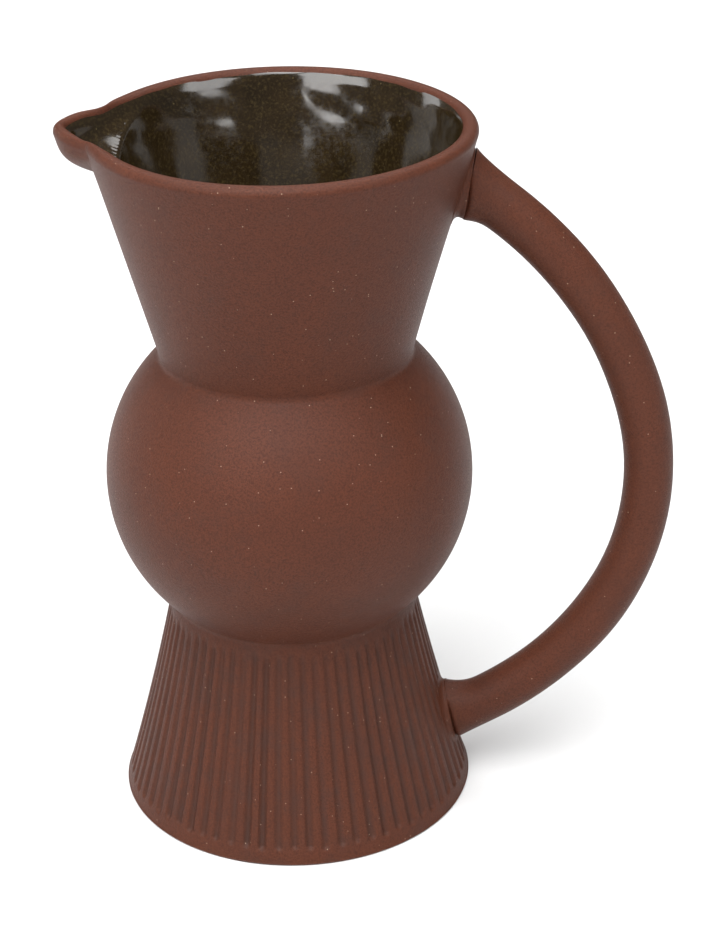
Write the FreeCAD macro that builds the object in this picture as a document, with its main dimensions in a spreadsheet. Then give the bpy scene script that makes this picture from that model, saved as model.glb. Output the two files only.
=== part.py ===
import FreeCAD, Part
import math
import os
import Sketcher

# Ceramic pitcher: fluted conical base, ball-shaped belly, flared collar with a pouring beak, arched handle.
# Millimetres, +Z up, +X towards the handle. The origin is the centre of the foot, on the table.

SIZES = {
    # Overall and wall
    "overall_height": 250.0,
    "wall": 5.5,
    # Base: its outline is slightly hollow, by base_hollow at mid-height
    "foot_radius": 63.5,
    "foot_edge_round": 0.8,
    "foot_recess": 3.0,
    "base_hollow": 0.87,
    "waist_height": 78.0,
    "waist_inner_height": 80.2,
    # Floor and its sealing fillet
    "floor_radius": 54.0,
    "floor_thickness": 6.5,
    "floor_fillet": 4.0,
    # Belly: a flattened ball, an arc turned about the axis
    "belly_radius": 63.8,
    "belly_arc_radius": 60.9,
    "belly_height": 123.7,
    # Collar
    "neck_height": 169.5,
    "neck_inner_height": 167.6,
    "rim_radius": 63.9,
    "rim_height": 247.2,
    "rim_width": 5.7,
    # Slip seams: legs along the collar or base, and along the belly; the film round the beak's insert
    "seam_leg": 2.0,
    "seam_belly_leg": 1.4,
    "seam_film": 0.6,
    "seam_film_angle": 0.6,
    # Pouring beak
    "spout_tip_radius": 74.6,
    "spout_half_angle": 18.0,
    "spout_foot_height": 234.0,
    "spout_edge_share": 0.28,
    "spout_inner_lift": 1.1,
    "spout_insert_height": 231.0,
    # Flutes
    "flute_count": 68,
    "flute_tool_radius": 1.9,
    "flute_top_depth": 0.5,
    "flute_foot_depth": 0.9,
    "flute_foot_height": 4.8,
    "flute_top_height": 73.5,
    # Handle: a rod along three tangent arcs, the middle one about (grip_centre_x, grip_centre_height)
    "rod_radius": 8.75,
    "grip_centre_x": 23.4,
    "grip_centre_height": 122.9,
    "grip_radius": 101.4,
    "upper_arc_radius": 137.4,
    "lower_arc_radius": 118.6,
    "upper_arc_from": 16.6,
    "upper_arc_to": 63.5,
    "lower_arc_from": 37.8,
    "lower_arc_to": 71.0,
    # The block that trims the rod where it meets a wall
    "trim_half": 17.5,
    "trim_depth": 35.0,
    # Slip collars at the handle's ends
    "upper_joint_height": 231.0,
    "lower_joint_height": 25.5,
    "joint_proud": 3.0,
    "joint_depth": 2.5,
    "joint_wall_radius": 10.4,
    "joint_rod_radius": 9.6,
    # Glaze
    "glaze": 0.4,
    "glaze_edge_height": 246.0,
}

# Sections of the beak from its axis to either side, and how blunt its nose is seen from above
SPOUT_STEPS = 8
SPOUT_BLUNTNESS = 1.6
SPOUT_SECTIONS = [k / SPOUT_STEPS for k in range(-SPOUT_STEPS, SPOUT_STEPS + 1)]
ON_TABLE = 1e-6


def s(name):
    """The expression that reads one driving dimension."""
    if name not in SIZES:
        raise KeyError(name)
    return f"Sizes.{name}"


# Outlines, as expressions of the sheet's cells

BELLY_CENTRE = f"({s('belly_radius')} - {s('belly_arc_radius')})"
BELLY_INNER_ARC = f"({s('belly_arc_radius')} - {s('wall')})"
FLOOR_TOP = f"({s('foot_recess')} + {s('floor_thickness')})"
FLOOR_SEAL_TOP = f"({FLOOR_TOP} + {s('floor_fillet')})"


def belly_arc(arc_radius, height):
    """Radius of the belly's arc at a height."""
    rise = f"({height} - {s('belly_height')})"
    return f"({BELLY_CENTRE} + sqrt({arc_radius}^2 - {rise}^2))"


def belly_outer(height):
    return belly_arc(s("belly_arc_radius"), height)


def belly_inner(height):
    return belly_arc(BELLY_INNER_ARC, height)


NECK_RADIUS = belly_outer(s("neck_height"))
WAIST_RADIUS = belly_outer(s("waist_height"))
THROAT_RADIUS = belly_inner(s("neck_inner_height"))
WAIST_THROAT_RADIUS = belly_inner(s("waist_inner_height"))
RIM_INNER_RADIUS = f"({s('rim_radius')} - {s('rim_width')})"
RIM_RISE = f"({s('overall_height')} - {s('rim_height')})"
RIM_ARC_RADIUS = f"(({s('rim_width')}^2 / 4 + {RIM_RISE}^2) / (2 * {RIM_RISE}))"
BASE_CHORD = f"sqrt(({s('foot_radius')} - {WAIST_RADIUS})^2 + {s('waist_height')}^2)"
BASE_ARC_RADIUS = f"({BASE_CHORD}^2 / (8 * {s('base_hollow')}))"
SEAM_SPREAD = f"({s('spout_half_angle')} + {s('seam_film_angle')})"


def between(low_height, low_radius, high_height, high_radius, height):
    """Radius at a height on the straight outline between two points."""
    share = f"(({height} - {low_height}) / ({high_height} - {low_height}))"
    return f"({low_radius} + ({high_radius} - {low_radius}) * {share})"


def collar_outer(height):
    return between(s("neck_height"), NECK_RADIUS, s("rim_height"), s("rim_radius"), height)


def collar_inner(height):
    return between(s("neck_inner_height"), THROAT_RADIUS, s("rim_height"), RIM_INNER_RADIUS, height)


def base_outer(height):
    """The cone from foot to waist, less the hollow, which is a flat arc."""
    share = f"({height} / {s('waist_height')})"
    straight = between("0", s("foot_radius"), s("waist_height"), WAIST_RADIUS, height)
    return f"({straight} - 4 * {s('base_hollow')} * {share} * (1 - {share}))"


# Document, sheet and sketches

doc = FreeCAD.newDocument("pitcher")
sheet = doc.addObject("Spreadsheet::Sheet", "Sizes")
for row, (alias, value) in enumerate(SIZES.items(), start=1):
    sheet.set(f"A{row}", alias)
    sheet.set(f"B{row}", str(value))
    sheet.setAlias(f"B{row}", alias)
doc.recompute()


def number(expression):
    """Value of an expression now, for a first placing of the geometry that the constraints then drive."""
    return float(sheet.evalExpression(expression))


def origin_plane(body, role):
    for feature in body.Origin.OriginFeatures:
        if feature.Role == role:
            return feature
    raise ValueError(role)


def new_body(name):
    body = doc.addObject("PartDesign::Body", name)
    body.Label = name
    return body


def new_sketch(body, name, role="XZ_Plane", azimuth="0"):
    """Sketch on an origin plane. On XZ_Plane it is turned about Z to an azimuth, so that x is a radius."""
    sketch = body.newObject("Sketcher::SketchObject", name)
    sketch.AttachmentSupport = [(origin_plane(body, role), "")]
    sketch.MapMode = "FlatFace"
    if azimuth != "0":
        turn = FreeCAD.Rotation(FreeCAD.Vector(0, 1, 0), number(azimuth))
        sketch.AttachmentOffset = FreeCAD.Placement(FreeCAD.Vector(0, 0, 0), turn)
        sketch.setExpression("AttachmentOffset.Rotation.Angle", azimuth)
    return sketch


def bind(sketch, kind, where, expression):
    """Add a dimension and drive it by an expression."""
    index = sketch.addConstraint(Sketcher.Constraint(kind, *where, number(expression)))
    sketch.setExpression(f"Constraints[{index}]", expression)


def pin(sketch, geometry, end, point):
    """Place one end of a line or arc at a point given by two expressions."""
    across, up = point
    if across == "0":
        sketch.addConstraint(Sketcher.Constraint("PointOnObject", geometry, end, -2))
    else:
        bind(sketch, "DistanceX", (-1, 1, geometry, end), across)
    if up == "0":
        sketch.addConstraint(Sketcher.Constraint("PointOnObject", geometry, end, -1))
    else:
        bind(sketch, "DistanceY", (-1, 1, geometry, end), up)


def vector(point):
    return FreeCAD.Vector(number(point[0]), number(point[1]), 0)


def arc_middle(start, end, radius, centre_left):
    """Middle of the short arc from start to end, its centre to the left or the right of that way."""
    along = end - start
    left = FreeCAD.Vector(-along.y, along.x, 0).normalize()
    side = 1 if centre_left else -1
    reach = math.sqrt(max(radius**2 - (along.Length / 2) ** 2, 0))
    return (start + end) * 0.5 + left * (side * (reach - radius))


def add_edge(sketch, start, end, bend):
    """Line, or arc when bend is (radius expression, centre_left). Returns its index and end numbers."""
    if bend is None:
        return sketch.addGeometry(Part.LineSegment(start, end)), (1, 2)
    radius, centre_left = bend
    middle = arc_middle(start, end, number(radius), centre_left)
    index = sketch.addGeometry(Part.Arc(start, middle, end))
    first_is_start = (sketch.getPoint(index, 1) - start).Length < (sketch.getPoint(index, 2) - start).Length
    bind(sketch, "Radius", (index,), radius)
    return index, ((1, 2) if first_is_start else (2, 1))


def outline(sketch, points, bends=None, closed=True):
    """Chain of edges through the points. bends maps an edge's number to its arc."""
    bends = bends or {}
    places = [vector(point) for point in points]
    count = len(points) if closed else len(points) - 1
    edges = []
    for k in range(count):
        edges.append(add_edge(sketch, places[k], places[(k + 1) % len(points)], bends.get(k)))
    for k in range(1, count):
        (before, before_ends), (after, after_ends) = edges[k - 1], edges[k]
        sketch.addConstraint(Sketcher.Constraint("Coincident", before, before_ends[1], after, after_ends[0]))
    if closed:
        (last, last_ends), (first, first_ends) = edges[-1], edges[0]
        sketch.addConstraint(Sketcher.Constraint("Coincident", last, last_ends[1], first, first_ends[0]))
    for k in range(count):
        index, ends = edges[k]
        pin(sketch, index, ends[0], points[k])
    if not closed:
        index, ends = edges[-1]
        pin(sketch, index, ends[1], points[-1])


def turned(body, name, points, bends=None, kind="Revolution", angle="360", azimuth="0"):
    """Solid or cut made by turning an outline about Z, centred on its azimuth."""
    sketch = new_sketch(body, f"{name}_outline", azimuth=azimuth)
    outline(sketch, points, bends)
    feature = body.newObject(f"PartDesign::{kind}", name)
    feature.Profile = sketch
    feature.ReferenceAxis = (sketch, ["V_Axis"])
    feature.Angle = number(angle)
    feature.Midplane = angle != "360"
    if angle != "360":
        feature.setExpression("Angle", angle)
    return feature


# Base

def make_fluted_base():
    body = new_body("fluted_base")
    turned(body, "base_wall", [
        (s("foot_radius"), "0"),
        (WAIST_RADIUS, s("waist_height")),
        (WAIST_THROAT_RADIUS, s("waist_inner_height")),
        (s("floor_radius"), FLOOR_SEAL_TOP),
        (s("floor_radius"), "0"),
    ], {0: (BASE_ARC_RADIUS, False), 2: (BASE_ARC_RADIUS, True)})
    doc.recompute()
    round_foot(body)
    cut_flutes(body)
    return body


def round_foot(body):
    """Round the two edges that stand on the table."""
    wall = body.Tip
    names = []
    for index, edge in enumerate(wall.Shape.Edges, start=1):
        if isinstance(edge.Curve, Part.Circle) and abs(edge.BoundBox.ZMax) < ON_TABLE:
            names.append(f"Edge{index}")
    fillet = body.newObject("PartDesign::Fillet", "foot_rounding")
    fillet.Base = (wall, names)
    fillet.Radius = number(s("foot_edge_round"))
    fillet.setExpression("Radius", s("foot_edge_round"))
    doc.recompute()


def flute_axis(height, depth):
    """A point on the carving tool's path, outside the wall by its radius less the depth of cut."""
    lean = f"cos(atan(({s('foot_radius')} - {WAIST_RADIUS}) / {s('waist_height')}))"
    return f"({base_outer(height)} + ({s('flute_tool_radius')} - {depth}) / {lean})"


def cut_flutes(body):
    foot, top = s("flute_foot_height"), s("flute_top_height")
    start = (flute_axis(foot, s("flute_foot_depth")), foot)
    end = (flute_axis(top, s("flute_top_depth")), top)
    path = new_sketch(body, "flute_path")
    outline(path, [start, end], {0: (BASE_ARC_RADIUS, False)}, closed=False)
    tool = new_sketch(body, "flute_tool", role="XY_Plane")
    tool.AttachmentOffset = FreeCAD.Placement(FreeCAD.Vector(0, 0, number(foot)), FreeCAD.Rotation())
    tool.setExpression("AttachmentOffset.Base.z", foot)
    centre = FreeCAD.Vector(number(start[0]), 0, 0)
    circle = tool.addGeometry(Part.Circle(centre, FreeCAD.Vector(0, 0, 1), number(s("flute_tool_radius"))))
    tool.addConstraint(Sketcher.Constraint("PointOnObject", circle, 3, -1))
    bind(tool, "DistanceX", (-1, 1, circle, 3), start[0])
    bind(tool, "Radius", (circle,), s("flute_tool_radius"))
    doc.recompute()
    whole = body.Shape.Volume
    flute = body.newObject("PartDesign::SubtractivePipe", "flute")
    flute.Profile = tool
    flute.Spine = (path, ["Edge1"])
    doc.recompute()
    one = whole - flute.Shape.Volume
    if one <= 0:
        raise RuntimeError("the flute cuts nothing")
    flutes = body.newObject("PartDesign::PolarPattern", "flutes")
    flutes.Originals = [flute]
    flutes.Axis = (path, ["V_Axis"])
    flutes.Angle = 360
    flutes.Occurrences = int(number(s("flute_count")))
    flutes.setExpression("Occurrences", s("flute_count"))
    body.Tip = flutes
    doc.recompute()
    print(f"one flute {one:.1f} mm3, all {whole - body.Shape.Volume:.1f} mm3")


def make_base_floor():
    body = new_body("base_floor")
    turned(body, "floor_disc", [
        ("0", s("foot_recess")),
        (s("floor_radius"), s("foot_recess")),
        (s("floor_radius"), FLOOR_TOP),
        ("0", FLOOR_TOP),
    ])
    return body


def make_floor_joint():
    body = new_body("floor_joint")
    turned(body, "floor_seal", [
        (s("floor_radius"), FLOOR_TOP),
        (s("floor_radius"), FLOOR_SEAL_TOP),
        (f"{s('floor_radius')} - {s('floor_fillet')}", FLOOR_TOP),
    ])
    return body


# Belly and the seams above and below it

def make_belly():
    body = new_body("belly")
    turned(body, "belly_wall", [
        (WAIST_RADIUS, s("waist_height")),
        (NECK_RADIUS, s("neck_height")),
        (THROAT_RADIUS, s("neck_inner_height")),
        (WAIST_THROAT_RADIUS, s("waist_inner_height")),
    ], {0: (s("belly_arc_radius"), True), 2: (BELLY_INNER_ARC, False)})
    return body


def make_waist_joint():
    body = new_body("waist_joint")
    low = f"({s('waist_height')} - {s('seam_leg')})"
    high = f"({s('waist_height')} + {s('seam_belly_leg')})"
    turned(body, "waist_seam", [
        (WAIST_RADIUS, s("waist_height")),
        (base_outer(low), low),
        (belly_outer(high), high),
    ], {2: (s("belly_arc_radius"), False)})
    return body


def make_neck_joint():
    body = new_body("neck_joint")
    low = f"({s('neck_height')} - {s('seam_belly_leg')})"
    high = f"({s('neck_height')} + {s('seam_leg')})"
    turned(body, "neck_seam", [
        (NECK_RADIUS, s("neck_height")),
        (belly_outer(low), low),
        (collar_outer(high), high),
    ], {0: (s("belly_arc_radius"), False)})
    return body


# Collar and pouring beak

def make_collar():
    body = new_body("collar")
    turned(body, "collar_wall", [
        (NECK_RADIUS, s("neck_height")),
        (s("rim_radius"), s("rim_height")),
        (RIM_INNER_RADIUS, s("rim_height")),
        (THROAT_RADIUS, s("neck_inner_height")),
    ], {1: (RIM_ARC_RADIUS, True)})
    doc.recompute()
    whole = body.Shape.Volume
    cut_spout_window(body, "spout_window", f"({s('spout_insert_height')} - {s('seam_film')})", SEAM_SPREAD)
    doc.recompute()
    if body.Shape.Volume >= whole:
        raise RuntimeError("the spout window cuts nothing")
    return body


def cut_spout_window(body, name, floor_height, half_angle):
    """Cut away a sector of the wall above a height, centred on the beak's azimuth."""
    outside = f"({s('rim_radius')} + {s('wall')})"
    above = f"({s('overall_height')} + {s('wall')})"
    turned(body, name, [
        (THROAT_RADIUS, floor_height),
        (outside, floor_height),
        (outside, above),
        (THROAT_RADIUS, above),
    ], kind="Groove", angle=f"(2 * {half_angle})", azimuth="180")


def make_spout_joint():
    """A film of slip round the beak's insert: a U under it and up both sides."""
    body = new_body("spout_joint")
    low = f"({s('spout_insert_height')} - {s('seam_film')})"
    turned(body, "spout_seam", [
        (collar_outer(low), low),
        (s("rim_radius"), s("rim_height")),
        (RIM_INNER_RADIUS, s("rim_height")),
        (collar_inner(low), low),
    ], {1: (RIM_ARC_RADIUS, True)}, angle=f"(2 * {SEAM_SPREAD})", azimuth="180")
    doc.recompute()
    cut_spout_window(body, "insert_window", s("spout_insert_height"), s("spout_half_angle"))
    return body


def beak_reach(share):
    """How far the beak stands out of the rim at a share of its half angle: a blunt nose."""
    nose = f"({s('spout_tip_radius')} - {s('rim_radius')})"
    return f"({nose} * (1 - {abs(share)}^{SPOUT_BLUNTNESS}))"


def beak_points(share):
    """Section of the beak in the radial plane at a share of its half angle, outer side first."""
    reach = beak_reach(share)
    rise = f"({s('rim_height')} - {s('spout_foot_height')})"
    full = f"({s('spout_tip_radius')} - {s('rim_radius')})"
    least = s("spout_edge_share")
    knee = f"({s('rim_height')} - {rise} * ({least} + (1 - {least}) * {reach} / {full}))"
    inner_knee = f"({knee} + {s('spout_inner_lift')})"
    bottom = s("spout_insert_height")
    return [
        (collar_outer(bottom), bottom),
        (collar_outer(knee), knee),
        (f"({s('rim_radius')} + {reach})", s("rim_height")),
        (f"({RIM_INNER_RADIUS} + {reach})", s("rim_height")),
        (collar_inner(inner_knee), inner_knee),
        (collar_inner(bottom), bottom),
    ]


def section_azimuth(share):
    return f"(180 + {share} * {s('spout_half_angle')})"


def loft_sections(body, name, sections):
    """Loft through radial sections, given as (azimuth, points, bends)."""
    sketches = []
    for k, (azimuth, points, bends) in enumerate(sections):
        sketch = new_sketch(body, f"{name}_section_{k}", azimuth=azimuth)
        outline(sketch, points, bends)
        sketches.append(sketch)
    doc.recompute()
    loft = body.newObject("PartDesign::AdditiveLoft", name)
    loft.Profile = sketches[0]
    loft.Sections = sketches[1:]
    loft.Ruled = True
    doc.recompute()
    return loft


def make_pouring_spout():
    body = new_body("pouring_spout")
    sections = []
    for share in SPOUT_SECTIONS:
        sections.append((section_azimuth(share), beak_points(share), {2: (RIM_ARC_RADIUS, True)}))
    loft_sections(body, "beak", sections)
    return body


# Handle

def on_arc(centre, radius, angle):
    """Point at an angle, in degrees, above the horizontal on an arc."""
    return f"({centre[0]} + {radius} * cos({angle}))", f"({centre[1]} + {radius} * sin({angle}))"


GRIP_CENTRE = (s("grip_centre_x"), s("grip_centre_height"))
UPPER_CENTRE = on_arc(GRIP_CENTRE, f"({s('grip_radius')} - {s('upper_arc_radius')})", s("upper_arc_from"))
LOWER_OFFSET = f"({s('grip_radius')} - {s('lower_arc_radius')})"
LOWER_CENTRE = on_arc(GRIP_CENTRE, LOWER_OFFSET, f"(-{s('lower_arc_from')})")


def offset_along(wall_at, height, distance):
    """Point at a distance outside a wall, on the normal to its mean slope near a height."""
    lean = wall_lean(wall_at, height)
    radius = f"({wall_at(height)} + {distance} * cos({lean}))"
    return radius, f"({height} - {distance} * sin({lean}))"


def wall_lean(wall_at, height):
    """Angle by which a wall leans outwards going up, over the height that the rod covers."""
    above = wall_at(f"({height} + {s('rod_radius')})")
    below = wall_at(f"({height} - {s('rod_radius')})")
    return f"atan(({above} - {below}) / (2 * {s('rod_radius')}))"


def shifted(point, along, lean):
    """A point moved up along a wall that leans by an angle."""
    return f"({point[0]} + {along} * sin({lean}))", f"({point[1]} + {along} * cos({lean}))"


def trim_rod(body, name, wall_at, height):
    """Cut the rod off along the outer face of its slip collar."""
    lean = wall_lean(wall_at, height)
    face = offset_along(wall_at, height, s("joint_proud"))
    back = offset_along(wall_at, height, f"(-{s('trim_depth')})")
    half = s("trim_half")
    sketch = new_sketch(body, f"{name}_outline")
    outline(sketch, [
        shifted(face, f"(-{half})", lean),
        shifted(face, half, lean),
        shifted(back, half, lean),
        shifted(back, f"(-{half})", lean),
    ])
    before = body.Shape.Volume
    pocket = body.newObject("PartDesign::Pocket", name)
    pocket.Profile = sketch
    pocket.Midplane = True
    pocket.Length = number(f"2 * {half}")
    pocket.setExpression("Length", f"2 * {half}")
    doc.recompute()
    if body.Shape.Volume >= before:
        raise RuntimeError(f"{name} cuts nothing")


def make_handle():
    body = new_body("handle")
    start = on_arc(UPPER_CENTRE, s("upper_arc_radius"), s("upper_arc_to"))
    upper_end = on_arc(GRIP_CENTRE, s("grip_radius"), s("upper_arc_from"))
    lower_start = on_arc(GRIP_CENTRE, s("grip_radius"), f"(-{s('lower_arc_from')})")
    end = on_arc(LOWER_CENTRE, s("lower_arc_radius"), f"(-{s('lower_arc_to')})")
    path = new_sketch(body, "rod_path")
    outline(path, [start, upper_end, lower_start, end], {
        0: (s("upper_arc_radius"), False),
        1: (s("grip_radius"), False),
        2: (s("lower_arc_radius"), False),
    }, closed=False)
    section = new_sketch(body, "rod_section", role="XY_Plane")
    tilt = f"(180 - {s('upper_arc_to')})"
    place = FreeCAD.Vector(number(start[0]), 0, number(start[1]))
    turn = FreeCAD.Rotation(FreeCAD.Vector(0, 1, 0), number(tilt))
    section.AttachmentOffset = FreeCAD.Placement(place, turn)
    section.setExpression("AttachmentOffset.Base.x", start[0])
    section.setExpression("AttachmentOffset.Base.z", start[1])
    section.setExpression("AttachmentOffset.Rotation.Angle", tilt)
    middle, normal = FreeCAD.Vector(0, 0, 0), FreeCAD.Vector(0, 0, 1)
    circle = section.addGeometry(Part.Circle(middle, normal, number(s("rod_radius"))))
    section.addConstraint(Sketcher.Constraint("Coincident", circle, 3, -1, 1))
    bind(section, "Radius", (circle,), s("rod_radius"))
    doc.recompute()
    rod = body.newObject("PartDesign::AdditivePipe", "rod")
    rod.Profile = section
    rod.Spine = (path, ["Edge1", "Edge2", "Edge3"])
    doc.recompute()
    trim_rod(body, "upper_trim", collar_outer, s("upper_joint_height"))
    trim_rod(body, "lower_trim", base_outer, s("lower_joint_height"))
    return body


def make_slip_pad(name, wall_at, height):
    """Cone of slip, square to the wall, from inside the wall out to the rod's end face."""
    body = new_body(name)
    lean = wall_lean(wall_at, height)
    root = offset_along(wall_at, height, f"(-{s('joint_depth')})")
    face = offset_along(wall_at, height, s("joint_proud"))
    sketch = new_sketch(body, f"{name}_outline")
    outline(sketch, [
        root,
        face,
        shifted(face, s("joint_rod_radius"), lean),
        shifted(root, s("joint_wall_radius"), lean),
    ])
    pad = body.newObject("PartDesign::Revolution", f"{name}_cone")
    pad.Profile = sketch
    pad.ReferenceAxis = (sketch, ["Edge1"])
    pad.Angle = 360
    doc.recompute()
    return body


def make_upper_handle_joint():
    pad = make_slip_pad("upper_pad", collar_outer, s("upper_joint_height"))
    core = doc.addObject("Part::Cone", "collar_core")
    core.setExpression("Radius1", NECK_RADIUS)
    core.setExpression("Radius2", s("rim_radius"))
    core.setExpression("Height", f"{s('rim_height')} - {s('neck_height')}")
    core.setExpression("Placement.Base.z", s("neck_height"))
    return cut_object("upper_handle_joint", pad, core)


def make_lower_handle_joint(fluted_base):
    pad = make_slip_pad("lower_pad", base_outer, s("lower_joint_height"))
    return cut_object("lower_handle_joint", pad, fluted_base)


def cut_object(name, base, tool):
    cut = doc.addObject("Part::Cut", name)
    cut.Label = name
    cut.Base = base
    cut.Tool = tool
    doc.recompute()
    return cut


# Glaze

def glaze_in(radius):
    return f"({radius} - {s('glaze')})"


def make_interior_glaze():
    """One skin over the floor, its seal, the base, the belly and the collar, open at the beak."""
    body = new_body("interior_glaze")
    seal_foot = f"({s('floor_radius')} - {s('floor_fillet')})"
    glaze_floor = f"({FLOOR_TOP} + {s('glaze')})"
    edge = s("glaze_edge_height")
    turned(body, "glaze_skin", [
        ("0", FLOOR_TOP),
        (seal_foot, FLOOR_TOP),
        (s("floor_radius"), FLOOR_SEAL_TOP),
        (WAIST_THROAT_RADIUS, s("waist_inner_height")),
        (THROAT_RADIUS, s("neck_inner_height")),
        (collar_inner(edge), edge),
        (glaze_in(collar_inner(edge)), edge),
        (glaze_in(THROAT_RADIUS), s("neck_inner_height")),
        (glaze_in(WAIST_THROAT_RADIUS), s("waist_inner_height")),
        (glaze_in(s("floor_radius")), FLOOR_SEAL_TOP),
        (glaze_in(seal_foot), glaze_floor),
        ("0", glaze_floor),
    ], {
        2: (BASE_ARC_RADIUS, False),
        3: (BELLY_INNER_ARC, True),
        7: (f"({BELLY_INNER_ARC} - {s('glaze')})", False),
        8: (BASE_ARC_RADIUS, True),
    })
    doc.recompute()
    cut_spout_window(body, "channel_window", s("spout_insert_height"), s("spout_half_angle"))
    return body


def make_spout_glaze():
    """The same coat where it lines the beak's channel, which is not a turned shape."""
    body = new_body("spout_glaze")
    sections = []
    for share in SPOUT_SECTIONS:
        sections.append((section_azimuth(share), channel_points(share), None))
    loft_sections(body, "channel_skin", sections)
    return body


def channel_points(share):
    """Section of the skin on the beak's channel, up to the height where the glaze ends."""
    points = beak_points(share)
    rim, knee, bottom = points[3], points[4], points[5]
    edge = s("glaze_edge_height")
    edge_radius = between(knee[1], knee[0], rim[1], rim[0], edge)
    return [
        bottom,
        knee,
        (edge_radius, edge),
        (glaze_in(edge_radius), edge),
        (glaze_in(knee[0]), knee[1]),
        (glaze_in(bottom[0]), bottom[1]),
    ]


def check(objects):
    """Stop if any object failed, or if a sub-part has no good solid."""
    for item in doc.Objects:
        if "Invalid" in item.State or "Error" in item.State:
            raise RuntimeError(f"{item.Name}: {item.State}")
    for item in objects:
        shape = item.Shape
        if shape.isNull() or not shape.isValid() or len(shape.Solids) != 1:
            raise RuntimeError(f"{item.Label}: not one valid solid")


def main():
    fluted_base = make_fluted_base()
    parts = [
        fluted_base,
        make_base_floor(),
        make_floor_joint(),
        make_belly(),
        make_waist_joint(),
        make_neck_joint(),
        make_collar(),
        make_spout_joint(),
        make_pouring_spout(),
        make_handle(),
        make_upper_handle_joint(),
        make_lower_handle_joint(fluted_base),
        make_interior_glaze(),
        make_spout_glaze(),
    ]
    doc.recompute()
    check(parts)
    os.makedirs("parts", exist_ok=True)
    for item in parts:
        item.Shape.exportStep(f"parts/{item.Label}.step")
        print(f"{item.Label:20s} volume {item.Shape.Volume:10.1f} mm3")
    return parts


main()
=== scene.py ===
import math

import bpy
import numpy as np
from mathutils import Matrix, Vector


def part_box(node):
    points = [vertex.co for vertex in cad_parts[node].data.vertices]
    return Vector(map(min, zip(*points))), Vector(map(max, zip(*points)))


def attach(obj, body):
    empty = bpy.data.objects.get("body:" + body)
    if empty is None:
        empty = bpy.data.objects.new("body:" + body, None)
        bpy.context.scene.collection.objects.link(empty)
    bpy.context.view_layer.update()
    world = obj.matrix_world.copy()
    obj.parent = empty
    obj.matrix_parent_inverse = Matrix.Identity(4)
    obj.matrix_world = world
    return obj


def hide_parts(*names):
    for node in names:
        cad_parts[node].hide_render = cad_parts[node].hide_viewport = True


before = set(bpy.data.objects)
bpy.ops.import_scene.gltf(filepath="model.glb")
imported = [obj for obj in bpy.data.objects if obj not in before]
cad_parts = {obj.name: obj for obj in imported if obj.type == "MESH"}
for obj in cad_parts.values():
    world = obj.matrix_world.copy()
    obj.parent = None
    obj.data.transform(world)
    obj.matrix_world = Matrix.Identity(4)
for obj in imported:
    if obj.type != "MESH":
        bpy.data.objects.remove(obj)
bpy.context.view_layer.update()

# Ceramic pitcher: fluted base, ball-shaped belly, flared collar with a beak, arched handle, glazed inside.
# The pitcher's sizes are millimetres and degrees, and become metres where a mesh is made.
# +Z is up, and +X is the handle's side.

MM = 0.001
SEED = 11


def low_mm(node):
    return np.array(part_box(node)[0]) / MM


def high_mm(node):
    return np.array(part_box(node)[1]) / MM


# Sizes read from the frame

FOOT_R = high_mm("fluted_base")[1]
FLOOR_R = high_mm("base_floor")[1]
FLOOR_BOTTOM_Z = low_mm("base_floor")[2]
FLOOR_TOP_Z = high_mm("base_floor")[2]
WAIST_Z = low_mm("belly")[2]
NECK_Z = high_mm("belly")[2]
BELLY_R = high_mm("belly")[1]
TOP_Z = high_mm("collar")[2]
RIM_R = high_mm("collar")[1]
BEAK_R = -low_mm("pouring_spout")[0]
ROD_R = high_mm("handle")[1]
HANDLE_X = high_mm("handle")[0]
GLAZE_EDGE_Z = high_mm("interior_glaze")[2]

# Sizes that a box doesn't give

BELLY_ARC_R = 60.9
BELLY_MID_Z = 123.7
WALL = 5.5
BASE_HOLLOW = 0.87
RIM_RISE = 2.8
RIM_WIDTH = 5.7
RIM_Z = TOP_Z - RIM_RISE
WAIST_INNER_Z = WAIST_Z + 2.2
NECK_INNER_Z = NECK_Z - 1.9
GLAZE_THICKNESS = 0.4
BEAK_AZIMUTH = 180
HANDLE_AZIMUTH = 0
LOWER_JOINT_Z = 25.5
UPPER_JOINT_Z = 231.0


# Walls, as radii over height

def belly_wall(z, inset=0.0):
    return BELLY_R - BELLY_ARC_R + np.sqrt((BELLY_ARC_R - inset) ** 2 - (z - BELLY_MID_Z) ** 2)


WAIST_R = belly_wall(WAIST_Z)
NECK_R = belly_wall(NECK_Z)
WAIST_INNER_R = belly_wall(WAIST_INNER_Z, WALL)
NECK_INNER_R = belly_wall(NECK_INNER_Z, WALL)
RIM_INNER_R = RIM_R - RIM_WIDTH


def between(z, low_z, low_r, high_z, high_r):
    return low_r + (high_r - low_r) * (z - low_z) / (high_z - low_z)


def collar_outer(z):
    return between(z, NECK_Z, NECK_R, RIM_Z, RIM_R)


def collar_inner(z):
    return between(z, NECK_INNER_Z, NECK_INNER_R, RIM_Z, RIM_INNER_R)


def base_outer(z):
    share = z / WAIST_Z
    return between(z, 0, FOOT_R, WAIST_Z, WAIST_R) - 4 * BASE_HOLLOW * share * (1 - share)


def base_inner(z):
    share = (z - FLOOR_TOP_Z) / (WAIST_INNER_Z - FLOOR_TOP_Z)
    cone = between(z, FLOOR_TOP_Z, FLOOR_R, WAIST_INNER_Z, WAIST_INNER_R)
    return cone - 4 * BASE_HOLLOW * share * (1 - share)


def smooth(x):
    """0 below 0, 1 above 1, and a soft step between."""
    x = np.clip(x, 0, 1)
    return x * x * (3 - 2 * x)


def rounded_ramp(x, softness):
    """x well above 0, and 0 well below it, with a rounded bend between."""
    return 0.5 * (x + np.sqrt(x**2 + softness**2))


def turn_from(azimuth, middle):
    """Angle from a direction, between -180 and 180."""
    return (azimuth - middle + 180) % 360 - 180


# Meshes from grids of points

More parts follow.
